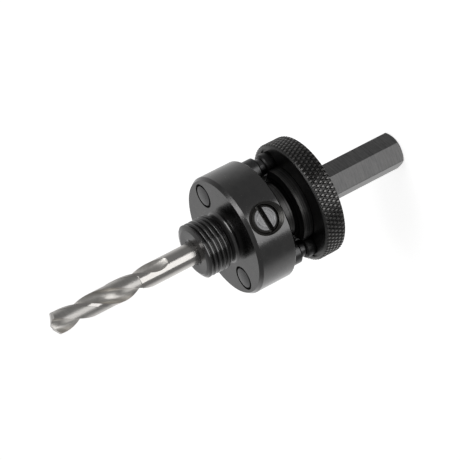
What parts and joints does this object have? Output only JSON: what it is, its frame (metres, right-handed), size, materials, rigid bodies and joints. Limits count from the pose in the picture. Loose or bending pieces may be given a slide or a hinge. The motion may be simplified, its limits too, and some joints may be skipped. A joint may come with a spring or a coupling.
{
  "type": "hole saw arbor",
  "caption": "Hex shank hole saw arbor with a threaded nose, a sliding knurled drive pin collar and a clamped twist pilot drill.",
  "frame": {"origin": "centre of the end face of the hex shank, which the arbor stands on", "axes": "+Z along the turning axis from the shank to the drill point, +X through the clamp screw, +Y through one drive pin"},
  "size_m": [0.0354, 0.0354, 0.1135],
  "materials": {
    "black_steel": "turned and blackened, semi gloss",
    "drill_steel": "ground bright",
    "screw_steel": "turned, bright",
    "knurled_steel": "diamond knurled rim, thin black finish",
    "pin_steel": "ground and blackened",
    "spring_steel": "blackened spring steel"
  },
  "bodies": {
    "arbor": {"arbor_body": "black_steel", "pilot_drill": "drill_steel", "stop_ring": "spring_steel"},
    "collar": {"pin_collar": "knurled_steel", "drive_pin_1": "pin_steel", "drive_pin_2": "pin_steel"},
    "screw": {"clamp_screw": "screw_steel"}
  },
  "joints": [
    {"name": "collar_slide", "type": "slide", "parent": "arbor", "child": "collar", "axis": [0, 0, 1], "range_m": [0, 0.007]},
    {"name": "clamp_screw_out", "type": "slide", "parent": "arbor", "child": "screw", "axis": [1, 0, 0], "range_m": [0, 0.005]}
  ]
}
